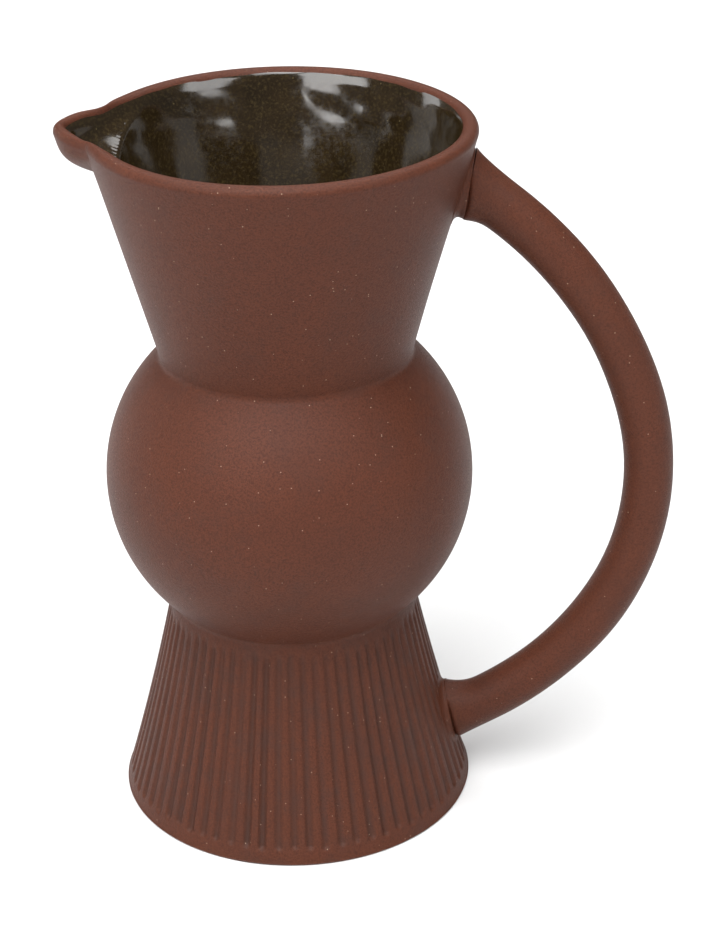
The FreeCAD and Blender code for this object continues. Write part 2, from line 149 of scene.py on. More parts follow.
def place(radius, azimuth, z):
    """Points from radii, azimuths in degrees, and heights."""
    turn = np.radians(azimuth)
    return np.stack(np.broadcast_arrays(radius * np.cos(turn), radius * np.sin(turn), z), -1)


def grid_faces(rows, columns, wrap_rows):
    """Quads of a grid whose columns wrap. Its rows may wrap too."""
    down, across = np.meshgrid(np.arange(rows if wrap_rows else rows - 1), np.arange(columns), indexing="ij")
    here, below = down * columns, (down + 1) % rows * columns
    beside = (across + 1) % columns
    return np.stack([here + across, here + beside, below + beside, below + across], -1).reshape(-1, 4)


def make_mesh(name, points, faces):
    mesh = bpy.data.meshes.new(name)
    mesh.from_pydata((points * MM).tolist(), [], faces)
    mesh.shade_smooth()
    mesh.validate()
    return mesh


def add_object(name, data):
    thing = bpy.data.objects.new(name, data)
    bpy.context.scene.collection.objects.link(thing)
    return thing


def add_piece(mesh, material, slot, *nodes):
    piece = add_object(mesh.name, mesh)
    mesh.materials.append(material)
    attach(piece, "root")
    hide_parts(*nodes)


def ring_mesh(name, points, sharp=40):
    """Solid ring from a grid [profile, azimuth] whose rows go round the wall's section."""
    rows, columns = points.shape[:2]
    mesh = make_mesh(name, points.reshape(-1, 3), grid_faces(rows, columns, True).tolist())
    mesh.set_sharp_from_angle(angle=math.radians(sharp))
    return mesh


def capped_mesh(name, points, sharp=40):
    """Solid from a grid [row, column] whose first and last rows each close on the row's mean point."""
    rows, columns = points.shape[:2]
    first, last = points[0].mean(0), points[-1].mean(0)
    body = points[1:-1].reshape(-1, 3)
    faces = (grid_faces(rows - 2, columns, False) + 1).tolist()
    beside = [(k + 1) % columns for k in range(columns)]
    end = len(body) + 1
    foot = 1 + (rows - 3) * columns
    faces += [(0, 1 + beside[k], 1 + k) for k in range(columns)]
    faces += [(end, foot + k, foot + beside[k]) for k in range(columns)]
    mesh = make_mesh(name, np.vstack([first, body, last]), faces)
    mesh.set_sharp_from_angle(angle=math.radians(sharp))
    return mesh


def grid_normals(points):
    """Normals of a grid [row, column] whose columns wrap, pointing outwards where its rows go up."""
    along = np.gradient(points, axis=0)
    round_it = np.roll(points, -1, axis=1) - np.roll(points, 1, axis=1)
    normals = np.cross(round_it, along)
    return normals / np.linalg.norm(normals, axis=-1, keepdims=True)


def wall_mesh(name, points, keep):
    """Part of a wall, as a closed solid that shades as one surface with the rest of the wall.

    points is a grid [row, azimuth] up the outside, over the rim's crest and down the inside. keep says,
    for each cell up to the crest, whether the wall there belongs to this piece.
    """
    rows, columns = points.shape[:2]
    crest = rows // 2
    number = np.arange(rows * columns).reshape(rows, columns)
    normals = grid_normals(points).reshape(-1, 3)
    flat_points = points.reshape(-1, 3)
    skins, cuts = [], []
    for i in range(crest):
        back = rows - 1 - i
        for j in np.flatnonzero(keep[i]):
            k = (j + 1) % columns
            skins.append((number[i, j], number[i, k], number[i + 1, k], number[i + 1, j]))
            skins.append((number[back - 1, j], number[back - 1, k], number[back, k], number[back, j]))
            if not keep[i, k]:
                cuts.append((number[i, k], number[back, k], number[back - 1, k], number[i + 1, k]))
            if not keep[i, j - 1]:
                cuts.append((number[i + 1, j], number[back - 1, j], number[back, j], number[i, j]))
            if i == 0 or not keep[i - 1, j]:
                cuts.append((number[i, j], number[back, j], number[back, k], number[i, k]))
            if i + 1 < crest and not keep[i + 1, j]:
                cuts.append((number[i + 1, k], number[back - 1, k], number[back - 1, j], number[i + 1, j]))
    faces, loop_normals = [], []
    for face in skins:
        faces.append(face)
        loop_normals.extend(normals[list(face)])
    for face in cuts:
        corners = list(dict.fromkeys(face))
        a, b, c = flat_points[corners[0]], flat_points[corners[1]], flat_points[corners[2]]
        square = np.cross(b - a, c - b)
        faces.append(corners)
        loop_normals.extend([square / np.linalg.norm(square)] * len(corners))
    used = np.unique(np.concatenate([np.array(face) for face in faces]))
    renumber = np.zeros(rows * columns, int)
    renumber[used] = np.arange(len(used))
    mesh = make_mesh(name, flat_points[used], [[int(renumber[v]) for v in face] for face in faces])
    mesh.normals_split_custom_set([tuple(n) for n in loop_normals])
    return mesh


# Base

FLUTES = 68
COLUMNS_PER_FLUTE = 12
FLUTE_FOOT_Z = 4.8
FLUTE_TOP_Z = 72.5
FLUTE_FADE = 4.5
FLUTE_DEPTH_TOP, FLUTE_DEPTH_FOOT = 0.68, 1.0
FLUTE_HALF_TOP, FLUTE_HALF_FOOT = 1.28, 1.62
FLUTE_END_LENGTH = 1.7
EDGE_SOFTNESS = 0.16
FOOT_FADE = 2.0
FOOT_ROUND = 0.8

# The base's rows are closer together below the first height and above the second
FOOT_ZONE_Z, WAIST_ZONE_Z = 9, 66

# The lowest row inside, above the floor
INSIDE_LOW = 4

# How much the flutes differ: spreads, the most that some may be, and the sway of each over its height
SHIFT_SPREAD = 0.16
DEPTH_SPREAD, DEPTH_LIMIT = 0.12, 0.25
WIDTH_SPREAD, WIDTH_LIMIT = 0.05, 0.1
END_SPREAD, END_LIMIT = 0.35, 0.7
SWING, SWING_HEIGHT = 0.12, 19

# Where slip fills the flutes round the handle's lower joint
SMEAR_R = 10.0
SMEAR_FADE = 4.5


def flute_layout(rng):
    """Each flute's shift in degrees, shares of the depth and width, end's lift, and phase in degrees."""
    shift = rng.normal(0, SHIFT_SPREAD, FLUTES)
    depth = 1 + rng.normal(0, DEPTH_SPREAD, FLUTES).clip(-DEPTH_LIMIT, DEPTH_LIMIT)
    width = 1 + rng.normal(0, WIDTH_SPREAD, FLUTES).clip(-WIDTH_LIMIT, WIDTH_LIMIT)
    lift = rng.normal(0, END_SPREAD, FLUTES).clip(-END_LIMIT, END_LIMIT)
    phase = rng.uniform(0, 360, FLUTES)
    return shift, depth, width, lift, phase


def carve_flutes(z, rng):
    """Azimuths and depths of the fluted surface, as grids [height, column]."""
    shift, depth, width, lift, phase = flute_layout(rng)
    column = (np.arange(FLUTES * COLUMNS_PER_FLUTE) + 0.5) / COLUMNS_PER_FLUTE
    flute = column.astype(int)
    offset = column - flute - 0.5
    centres = np.arange(-1, FLUTES + 1) + 0.5
    drift = np.interp(column, centres, np.concatenate([shift[-1:], shift, shift[:1]]))
    tall = z[:, None]
    swing = SWING * np.sin(np.radians(phase)[flute] + tall / SWING_HEIGHT)
    swing *= 1 - np.abs(2 * offset) ** 2
    azimuth = column * 360 / FLUTES + drift + swing
    across = offset * 2 * math.pi * base_outer(tall) / FLUTES
    rise = tall / WAIST_Z
    half = (FLUTE_HALF_FOOT + (FLUTE_HALF_TOP - FLUTE_HALF_FOOT) * rise) * width[flute]
    short = np.maximum(FLUTE_FOOT_Z + lift[flute] + FLUTE_END_LENGTH - tall, 0) / FLUTE_END_LENGTH
    open_share = 1 - (across / half) ** 2 - short**2
    deep = (FLUTE_DEPTH_FOOT + (FLUTE_DEPTH_TOP - FLUTE_DEPTH_FOOT) * rise) * depth[flute]
    fade = smooth((FLUTE_TOP_Z + FLUTE_FADE / 2 + 2 * lift[flute] - tall) / FLUTE_FADE)
    away = smooth(tall / FOOT_FADE)
    return azimuth, rounded_ramp(open_share, EDGE_SOFTNESS) * deep * fade * away


def joint_smear(azimuth, z, depth):
    """Slip fills the flutes round the handle's lower joint."""
    sideways = np.radians(turn_from(azimuth, HANDLE_AZIMUTH)) * base_outer(z[:, None])
    gap = np.hypot(sideways, z[:, None] - LOWER_JOINT_Z) - SMEAR_R
    return depth * smooth(gap / SMEAR_FADE)


def arc_points(centre_r, centre_z, radius, start, end, count):
    """Radii and heights along an arc in a section, from one angle to another."""
    turn = np.radians(np.linspace(start, end, count))
    return centre_r + radius * np.cos(turn), centre_z + radius * np.sin(turn)


def base_heights():
    """Rows up the outside, closer together at both ends of the flutes."""
    return np.concatenate([
        np.linspace(FOOT_ROUND, FOOT_ZONE_Z, 22),
        np.linspace(FOOT_ZONE_Z, WAIST_ZONE_Z, 32)[1:],
        np.linspace(WAIST_ZONE_Z, WAIST_Z, 16)[1:],
    ])


def make_base(material):
    z = base_heights()
    azimuth, depth = carve_flutes(z, np.random.default_rng(SEED))
    depth = joint_smear(azimuth, z, depth)
    outside = place(base_outer(z)[:, None] - depth, azimuth, z[:, None])
    inside_z = np.linspace(WAIST_INNER_Z, FLOOR_TOP_Z + INSIDE_LOW, 12)
    foot_r = FOOT_R - FOOT_ROUND
    turn_in_r, turn_in_z = arc_points(FLOOR_R + FOOT_ROUND, FOOT_ROUND, FOOT_ROUND, 180, 270, 5)
    turn_out_r, turn_out_z = arc_points(foot_r, FOOT_ROUND, FOOT_ROUND, 270, 350, 5)
    radii = np.concatenate([base_inner(inside_z), [FLOOR_R], turn_in_r, turn_out_r])
    heights = np.concatenate([inside_z, [FLOOR_TOP_Z], turn_in_z, turn_out_z])
    plain = place(radii[:, None], azimuth[0][None, :], heights[:, None])
    mesh = ring_mesh("base_clay", np.vstack([outside, plain]))
    # The flutes' depth at each point, which the fluted material turns into painted shade in the flutes
    groove = mesh.attributes.new("groove", "FLOAT", "POINT")
    flute_shade_shares = np.zeros((len(outside) + len(plain), depth.shape[1]), np.float32)
    flute_shade_shares[:len(z)] = np.clip(depth / FLUTE_DEPTH_FOOT, 0, 1)
    groove.data.foreach_set("value", flute_shade_shares.ravel())
    add_piece(mesh, material, "bare_clay", "fluted_base")


def disc_points(radii, heights, columns=192):
    azimuth = np.linspace(0, 360, columns, endpoint=False)
    return place(np.array(radii)[:, None], azimuth[None, :], np.array(heights)[:, None])


# The disc that closes the base: its gap to the wall, its rounded lower edge, and how far it is dished below
FLOOR_GAP = 0.05
FLOOR_ROUND = 0.6
FLOOR_DISH = 0.25
FLOOR_BEVEL, FLOOR_BEVEL_DROP = 1, 0.4


def make_floor(material):
    edge = FLOOR_R - FLOOR_GAP
    turn_r, turn_z = arc_points(edge - FLOOR_ROUND, FLOOR_BOTTOM_Z + FLOOR_ROUND, FLOOR_ROUND, -90, 0, 4)
    under = np.linspace(0, FLOOR_R - 2, 12)
    dish = FLOOR_BOTTOM_Z + FLOOR_DISH * (1 - (under / FLOOR_R) ** 2)
    radii = np.concatenate([under, turn_r, [edge, FLOOR_R - FLOOR_BEVEL, 0]])
    heights = np.concatenate([dish, turn_z, [FLOOR_TOP_Z - FLOOR_BEVEL_DROP, FLOOR_TOP_Z, FLOOR_TOP_Z]])
    mesh = capped_mesh("floor_clay", disc_points(radii, heights)[:, ::-1])
    add_piece(mesh, material, "bare_clay", "base_floor")


# Belly and the slip seams above and below it

def make_belly(material):
    z = WAIST_Z + (NECK_Z - WAIST_Z) * (1 - np.cos(np.linspace(0, math.pi, 90))) / 2
    back = np.linspace(NECK_INNER_Z, WAIST_INNER_Z, 30)
    radii = np.concatenate([belly_wall(z), belly_wall(back, WALL)])
    heights = np.concatenate([z, back])
    mesh = ring_mesh("belly_clay", disc_points(radii, heights, 288))
    add_piece(mesh, material, "bare_clay", "belly")


WAIST_SEAM_BELOW, WAIST_SEAM_ABOVE = 1.7, 1.3
NECK_SEAM_BELOW, NECK_SEAM_ABOVE = 1.3, 1.8
SEAM_DEPTH = 0.6
SEAM_SHARP = 60


def seam_points(low, corner, high, columns=360):
    """A concave fillet of slip from one wall to the other, closed behind the crease."""
    t = np.linspace(0, 1, 9)[:, None]
    low, corner, high = np.array(low), np.array(corner), np.array(high)
    azimuth = np.linspace(0, 360, columns, endpoint=False)
    front = (1 - t) ** 2 * low + 2 * t * (1 - t) * corner + t**2 * high
    behind = corner - np.array([SEAM_DEPTH, 0])
    rows = np.vstack([front, behind])
    return place(rows[:, :1], azimuth[None, :], rows[:, 1:])


def make_waist_slip(material):
    low_z, high_z = WAIST_Z - WAIST_SEAM_BELOW, WAIST_Z + WAIST_SEAM_ABOVE
    points = seam_points((base_outer(low_z), low_z), (WAIST_R, WAIST_Z), (belly_wall(high_z), high_z))
    add_piece(ring_mesh("waist_slip", points, SEAM_SHARP), material, "slip", "waist_joint")


def make_neck_slip(material):
    low_z, high_z = NECK_Z - NECK_SEAM_BELOW, NECK_Z + NECK_SEAM_ABOVE
    points = seam_points((belly_wall(low_z), low_z), (NECK_R, NECK_Z), (collar_outer(high_z), high_z))
    add_piece(ring_mesh("neck_slip", points, SEAM_SHARP), material, "slip", "neck_joint")


# Collar and beak, one surface cut into three pieces

BEAK_HALF = 17.8
BEAK_BLUNTNESS = 1.6
CORNER_SOFTNESS = 0.09
CHANNEL_HALF = 30
CHANNEL_FADE = 1.7
CHANNEL_TIP_R = 70.3
CHANNEL_SOFTNESS = 2.0
BEAK_FOOT_Z = 233
CHANNEL_LIFT = 1.1
BEAK_SIDE_SHARE = 0.3
BEAK_FULL_SHARE = 0.8
BEAK_BELLY_POWER = 3.0
BEAK_DROOP = 0.35
PINCH_AT, PINCH_WIDTH = 15.0, 4.2
PINCH_DEPTH, PINCH_DROP = 0.9, 0.7
PULL, PULL_WIDTH, PULL_FOOT_Z = 1.1, 30, 185
INSERT_Z = 231.0
INSERT_HALF = 18
SEAM_FILM = 0.6
CLOSE_HALF = 36
COLUMN_NUDGE, ROW_NUDGE = 0.01, 0.1


def pinch(azimuth):
    """Share of the two dents that pinch the rim where the beak begins."""
    turn = np.abs(turn_from(azimuth, BEAK_AZIMUTH))
    return np.exp(-(((turn - PINCH_AT) / PINCH_WIDTH) ** 2))


def outer_reach(azimuth):
    """How far the beak's rim stands out of the round rim: a blunt nose between two soft corners."""
    share = 1 - (np.abs(turn_from(azimuth, BEAK_AZIMUTH)) / BEAK_HALF) ** BEAK_BLUNTNESS
    soft = rounded_ramp(share, CORNER_SOFTNESS)
    soft = np.where(share < -1, 0, soft * smooth(1 + share))
    nose = (BEAK_R - RIM_R) * soft / rounded_ramp(1, CORNER_SOFTNESS)
    return nose - PINCH_DEPTH * pinch(azimuth)


def inner_reach(azimuth):
    """The same for the channel inside, which is wider at its root and leaves a thinner lip."""
    turn = np.sqrt(turn_from(azimuth, BEAK_AZIMUTH) ** 2 + CHANNEL_SOFTNESS**2) - CHANNEL_SOFTNESS
    return (CHANNEL_TIP_R - RIM_INNER_R) * np.clip(1 - turn / CHANNEL_HALF, 0, 1) ** CHANNEL_FADE


def beak_swell(z, reach, foot_lift=0.0):
    """Share of the beak's reach at a height: none at its foot, all of it near the rim."""
    side = BEAK_SIDE_SHARE + (1 - BEAK_SIDE_SHARE) * np.clip(reach / (BEAK_R - RIM_R), 0, 1)
    foot = RIM_Z - (RIM_Z - BEAK_FOOT_Z) * side + foot_lift
    rise = np.clip((z - foot) / (RIM_Z - foot) / BEAK_FULL_SHARE, 0, 1)
    return 1 - (1 - rise) ** BEAK_BELLY_POWER


def beak_drop(azimuth):
    """How far the rim dips: a little at the beak's tip and more at the two dents."""
    return BEAK_DROOP * outer_reach(azimuth) / (BEAK_R - RIM_R) + PINCH_DROP * pinch(azimuth)


def handle_pull(azimuth, z):
    """The collar stands out a little where the handle was pressed on."""
    share = np.exp(-((turn_from(azimuth, HANDLE_AZIMUTH) / PULL_WIDTH) ** 2))
    return PULL * share * smooth((z - PULL_FOOT_Z) / (RIM_Z - PULL_FOOT_Z))


def pulled_collar(z):
    """The collar's outside under the handle."""
    return collar_outer(z) + handle_pull(HANDLE_AZIMUTH, z)


def dip_rim(points, azimuth):
    """Lower a grid's points by the rim's dip, which fades away down to the insert's lower edge."""
    points[..., 2] -= beak_drop(azimuth) * smooth((points[..., 2] - INSERT_Z) / (RIM_Z - INSERT_Z))


def collar_outside(azimuth, z):
    reach = outer_reach(azimuth)
    return collar_outer(z) + reach * beak_swell(z, reach) + handle_pull(azimuth, z)


def collar_inside(azimuth, z):
    reach = inner_reach(azimuth)
    return collar_inner(z) + reach * beak_swell(z, reach, CHANNEL_LIFT) + handle_pull(azimuth, z)


def collar_azimuths():
    """Columns round the collar, closer at the beak, with one at each edge of the insert."""
    seam = INSERT_HALF + SEAM_FILM
    return np.concatenate([
        np.linspace(BEAK_AZIMUTH - INSERT_HALF, BEAK_AZIMUTH + INSERT_HALF, 110),
        np.linspace(BEAK_AZIMUTH + seam, BEAK_AZIMUTH + CLOSE_HALF, 48),
        np.linspace(BEAK_AZIMUTH + CLOSE_HALF, BEAK_AZIMUTH + 360 - CLOSE_HALF, 260)[1:-1],
        np.linspace(BEAK_AZIMUTH + 360 - CLOSE_HALF, BEAK_AZIMUTH + 360 - seam, 48),
    ])


def collar_heights():
    """Rows up the outside, with one at the insert's lower edge and one at its seam's."""
    return np.concatenate([
        np.linspace(NECK_Z, INSERT_Z - SEAM_FILM, 22),
        np.linspace(INSERT_Z, RIM_Z, 34),
    ])


def collar_points():
    """The collar's azimuths, and a grid of points up the outside, over the rim and down the inside."""
    azimuth = collar_azimuths()[None, :]
    z = collar_heights()[:, None]
    share = (z - NECK_Z) / (RIM_Z - NECK_Z)
    inside_z = NECK_INNER_Z + (RIM_Z - NECK_INNER_Z) * share
    outside = place(collar_outside(azimuth, z), azimuth, z)
    inside = place(collar_inside(azimuth, inside_z), azimuth, inside_z)[::-1]
    edge_out = collar_outside(azimuth, RIM_Z)
    edge_in = collar_inside(azimuth, RIM_Z)
    turn = np.radians(np.linspace(0, 180, 19)[1:-1])[:, None]
    middle, half = (edge_out + edge_in) / 2, (edge_out - edge_in) / 2
    rim = place(middle + half * np.cos(turn), azimuth, RIM_Z + RIM_RISE * np.sin(turn))
    points = np.vstack([outside, rim, inside])
    dip_rim(points, azimuth)
    return azimuth[0], points


def make_collar_pieces(clay, slip):
    """The collar, the beak and the seam between them. A cell goes to the piece its first corner is in.

    The corner is nudged a little way into the cell, so that rounding can't put it outside.
    """
    azimuth, points = collar_points()
    crest = points.shape[0] // 2
    z = np.append(collar_heights(), np.full(crest, TOP_Z))[:crest]
    turn = np.abs(turn_from(azimuth + COLUMN_NUDGE, BEAK_AZIMUTH))
    insert = (turn < INSERT_HALF)[None, :] & (z > INSERT_Z - ROW_NUDGE)[:, None]
    window = (turn < INSERT_HALF + SEAM_FILM)[None, :] & (z > INSERT_Z - SEAM_FILM - ROW_NUDGE)[:, None]
    add_piece(wall_mesh("collar_clay", points, ~window), clay, "bare_clay", "collar")
    add_piece(wall_mesh("beak_clay", points, insert), clay, "bare_clay", "pouring_spout")
    add_piece(wall_mesh("beak_slip", points, window & ~insert), slip, "slip", "spout_joint")


# Handle

GRIP_R, GRIP_Z = 101.4, 122.9
UPPER_ARC_R, LOWER_ARC_R = 137.4, 118.6
UPPER_FROM, UPPER_TO = 16.6, 63.5
LOWER_FROM, LOWER_TO = 37.8, 71.0
LINE_STEP = 0.5
HANDLE_SIDES = 96
HANDLE_ROWS = 260
HANDLE_SHARP = 50
SWAY_ROOM = 0.17
ROD_MEAN_R = ROD_R - SWAY_ROOM

# The rod's ends: how far they swell, how far they slide along to meet the crease, and the groove round them
FLARE_LENGTH = 15
FLARE_POWER = 2.3
UPPER_FLARE_SIDE, UPPER_FLARE_MORE = 0.7, 2.3
LOWER_FLARE_SIDE, LOWER_FLARE_INNER, LOWER_FLARE_OUTER = 0.6, 3.6, 0.7
SHIFT_LENGTH = 16
UPPER_CREASE, UPPER_TILT = 2.0, 1.5
LOWER_CREASE, LOWER_TILT = 1.1, 0.7
GROOVE = 1.3
UPPER_OPEN_BELOW, UPPER_OPEN_TURN, UPPER_OPEN_FADE = 0.66, 0.12, 0.3
LOWER_OPEN_FADE = 0.5

# Distances of the first rows from the rod's end, and the groove's share of its depth at each
END_ROWS = np.array([0, 0, 0.2, 0.5, 1.0, 1.6])
END_GROOVE = np.array([1, 1, 0.8, 0.45, 0.12, 0.0])
FIRST_PLAIN_ROW = 2.4

# The slip's rows across the groove's lip: shares of the groove's depth, and of the crease's distance
LIP_SINK = np.array([1, 0.5, 0.15, 0.0])
LIP_HEIGHT = np.array([1, 0.95, 0.86, 0.76])
SLIP_REACH = 1.5
SLIP_TUCK = 0.15
SLIP_EDGE_DEPTH, SLIP_CORE_DEPTH = 0.7, 2.0


def at_angle(centre, radius, angle):
    turn = np.radians(angle)
    return np.array([centre[0] + radius * np.cos(turn), centre[1] + radius * np.sin(turn)])


GRIP_CENTRE = np.array([HANDLE_X - ROD_R - GRIP_R, GRIP_Z])
UPPER_CENTRE = at_angle(GRIP_CENTRE, GRIP_R - UPPER_ARC_R, UPPER_FROM)
LOWER_CENTRE = at_angle(GRIP_CENTRE, GRIP_R - LOWER_ARC_R, -LOWER_FROM)


def handle_line():
    """Centreline from the collar to the base: points (x, z), outward normals and distances."""
    arcs = [
        (UPPER_CENTRE, UPPER_ARC_R, UPPER_TO, UPPER_FROM),
        (GRIP_CENTRE, GRIP_R, UPPER_FROM, -LOWER_FROM),
        (LOWER_CENTRE, LOWER_ARC_R, -LOWER_FROM, -LOWER_TO),
    ]
    points, normals = [], []
    for centre, radius, start, end in arcs:
        count = int(radius * math.radians(start - end) / LINE_STEP)
        angles = np.linspace(start, end, count, endpoint=False)
        points.append(at_angle(centre, radius, angles).T)
        normals.append(at_angle((0, 0), 1, angles).T)
    points, normals = np.vstack(points), np.vstack(normals)
    steps = np.linalg.norm(np.diff(points, axis=0), axis=1)
    return points, normals, np.concatenate([[0], np.cumsum(steps)])


def upper_flare(phi):
    """How much thicker the rod is at the collar. phi is 0 on the arch's outer side."""
    return UPPER_FLARE_SIDE + UPPER_FLARE_MORE * np.cos(phi) ** 2


def lower_flare(phi):
    """How much thicker the rod is at the base, most of all on the arch's inner side."""
    more = np.where(np.cos(phi) < 0, LOWER_FLARE_INNER, LOWER_FLARE_OUTER)
    return LOWER_FLARE_SIDE + more * np.cos(phi) ** 2


def upper_groove(phi):
    """Share of the groove between rod and slip: closed on the outer side, open at the sides and inside."""
    open_share = smooth((UPPER_OPEN_BELOW - np.cos(phi - UPPER_OPEN_TURN)) / UPPER_OPEN_FADE)
    return open_share * (0.8 + 0.2 * np.sin(3 * phi + 1.3))


def lower_groove(phi):
    """The same at the base, where the groove is closed on the inner side only."""
    return smooth((1 + np.cos(phi)) / LOWER_OPEN_FADE) * (1.25 + 0.2 * np.sin(4 * phi))


def rod_sway(along, phi):
    """Unevenness of the pulled rod. Its waves add up to less than SWAY_ROOM."""
    bends = 0.06 * np.sin(along / 13.0) + 0.05 * np.sin(along / 7.3 + 1)
    return bends + 0.05 * np.sin(2 * phi + along / 40)


def slip_reach(phi):
    """How far the slip spreads over the wall, furthest on the arch's inner side."""
    return SLIP_REACH + (1 - np.cos(phi)) + 0.3 * np.sin(2 * phi + 0.6) + 0.2 * np.sin(5 * phi)


def sample(distance, table, distances):
    """A table's values at distances along the handle's centreline."""
    return np.stack([np.interp(distance, distances, table[:, k]) for k in range(table.shape[1])], -1)


class Joint:
    """Where the rod meets a wall: the wall's frame, and the crease's place on the rod's centreline."""

    def __init__(self, wall_at, z, crease, tilt, flare, groove, is_upper):
        lean = math.atan((wall_at(z + ROD_R) - wall_at(z - ROD_R)) / (2 * ROD_R))
        self.wall_r = wall_at(z)
        self.foot = np.array([self.wall_r, z])
        self.out = np.array([math.cos(lean), -math.sin(lean)])
        self.up = np.array([math.sin(lean), math.cos(lean)])
        self.middle, self.tilt, self.flare, self.groove = crease, tilt, flare, groove
        points, normals, distances = handle_line()
        apart = (points - self.foot) @ self.out
        half = len(points) // 2
        part = slice(0, half) if is_upper else slice(len(points) - 1, half, -1)
        self.distance = np.interp(crease, apart[part], distances[part])
        self.point = sample(self.distance, points, distances)
        self.normal = sample(self.distance, normals, distances)
        self.along = np.array([self.normal[1], -self.normal[0]])

    def crease(self, phi):
        """Distance of the crease from the wall round the rod: closest on the arch's outer side."""
        return self.middle - self.tilt * np.cos(phi)

    def shift(self, phi):
        """How far along the rod its surface meets the crease, from where the centreline does."""
        across = -ROD_R * np.cos(phi) * (self.normal @ self.out) - self.tilt * np.cos(phi)
        return across / (self.along @ self.out)


def handle_phi():
    return np.radians(np.linspace(0, 360, HANDLE_SIDES, endpoint=False))


def make_handle(material, top, foot):
    points, normals, distances = handle_line()
    phi = handle_phi()
    length = foot.distance - top.distance
    plain = np.linspace(FIRST_PLAIN_ROW, length - FIRST_PLAIN_ROW, HANDLE_ROWS)
    along = np.concatenate([END_ROWS, plain, length - END_ROWS[::-1]])[:, None]
    from_top, from_foot = along, length - along
    at_top = np.concatenate([END_GROOVE, np.zeros(len(plain) + len(END_GROOVE))])[:, None]
    groove = GROOVE * (at_top * top.groove(phi) + at_top[::-1] * foot.groove(phi))
    slide_top, slide_foot = smooth(1 - from_top / SHIFT_LENGTH), smooth(1 - from_foot / SHIFT_LENGTH)
    distance = top.distance + along + slide_top * top.shift(phi) + slide_foot * foot.shift(phi)
    line = sample(distance, points, distances)
    normal = sample(distance, normals, distances)
    swell = np.clip(1 - from_top / FLARE_LENGTH, 0, 1) ** FLARE_POWER * top.flare(phi)
    swell = swell + np.clip(1 - from_foot / FLARE_LENGTH, 0, 1) ** FLARE_POWER * foot.flare(phi)
    radius = ROD_MEAN_R + rod_sway(along, phi) + swell - groove
    radius[0], radius[-1] = 0, 0
    x = line[..., 0] + radius * np.cos(phi) * normal[..., 0]
    z = line[..., 1] + radius * np.cos(phi) * normal[..., 1]
    mesh = capped_mesh("handle_clay", np.stack([x, radius * np.sin(phi), z], -1), HANDLE_SHARP)
    add_piece(mesh, material, "bare_clay", "handle")


def slip_section(joint, phi):
    """Radii from the rod's axis and distances from the wall, as grids [row, phi].

    The rows go from the rod's axis across the groove's lip, down a fillet to the wall, and back inside it.
    """
    radius = ROD_MEAN_R + joint.flare(phi)
    crease = joint.crease(phi)
    lip_r = radius - LIP_SINK[:, None] * GROOVE * joint.groove(phi)
    lip_proud = crease * LIP_HEIGHT[:, None]
    t = np.linspace(0, 1, 14)[1:, None]
    fillet_r = radius + t**2 * slip_reach(phi)
    fillet_proud = (1 - t) ** 2 * lip_proud[-1]
    edge_r = fillet_r[-1] + SLIP_TUCK
    level = np.ones_like(phi)
    edge_proud, core_proud = -SLIP_EDGE_DEPTH * level, -SLIP_CORE_DEPTH * level
    radii = np.vstack([0 * level, lip_r, fillet_r, edge_r, edge_r / 2, 0 * level])
    proud = np.vstack([crease, lip_proud, fillet_proud, edge_proud, core_proud, core_proud])
    return radii, proud


def make_joint_slip(name, material, joint, node):
    """Slip round the end of the handle: a fillet from the crease to the wall, closed inside both."""
    phi = handle_phi()
    radii, proud = slip_section(joint, phi)
    centre = joint.point + (proud[..., None] - joint.middle) * joint.along / (joint.along @ joint.out)
    side, height = radii * np.sin(phi), radii * np.cos(phi)
    near_wall = smooth(1 - proud / joint.crease(phi))
    sag = joint.wall_r - np.sqrt(np.maximum(joint.wall_r**2 - side**2, 0))
    way = np.sign(joint.normal @ joint.up)
    x = centre[..., 0] + way * height * joint.up[0] - sag * near_wall
    z = centre[..., 1] + way * height * joint.up[1]
    mesh = capped_mesh(name, np.stack([x, side, z], -1), HANDLE_SHARP)
    add_piece(mesh, material, "slip", node)


# Glaze

# The coat's edge stands a little higher on the lip than its node's, and wavers
GLAZE_EDGE_RISE, GLAZE_EDGE_WAVER = 2.6, 0.5
GLAZE_BEND = 4.0
GLAZE_TAPER_ROWS = 4
GLAZE_SHARP = 60

# Every third row is enough on the hidden side of the coat
BACK_STEP = 3


def glaze_edge_wave(azimuth):
    turn = np.radians(azimuth)
    return 0.18 * np.sin(5 * turn + 0.4) + 0.14 * np.sin(11 * turn + 2.1) + 0.1 * np.sin(23 * turn)


def glaze_section(azimuth):
    """Radii and heights [row, azimuth] of the clay's inner face, from the floor's centre to the edge."""
    ones = np.ones_like(azimuth)
    floor_r = np.linspace(0, FLOOR_R - GLAZE_BEND, 10)[:, None] * ones
    floor_z = np.full_like(floor_r, FLOOR_TOP_Z)
    turn = np.radians(np.linspace(-90, 0, 8))[1:, None]
    bend_r = (FLOOR_R - GLAZE_BEND + GLAZE_BEND * np.cos(turn)) * ones
    bend_z = (FLOOR_TOP_Z + GLAZE_BEND + GLAZE_BEND * np.sin(turn)) * ones
    base_z = np.linspace(FLOOR_TOP_Z + GLAZE_BEND, WAIST_INNER_Z, 22)[1:, None] * ones
    belly_z = np.linspace(WAIST_INNER_Z, NECK_INNER_Z, 44)[1:, None] * ones
    edge_z = GLAZE_EDGE_Z + GLAZE_EDGE_RISE + GLAZE_EDGE_WAVER * glaze_edge_wave(azimuth)
    rise = np.concatenate([np.linspace(0, 0.8, 26)[1:], np.linspace(0.8, 1, 24)[1:]])[:, None]
    collar_z = NECK_INNER_Z + (edge_z - NECK_INNER_Z) * rise
    radii = np.vstack([floor_r, bend_r, base_inner(base_z), belly_wall(belly_z, WALL),
                       collar_inside(azimuth, collar_z)])
    heights = np.vstack([floor_z, bend_z, base_z, belly_z, collar_z])
    return radii, heights


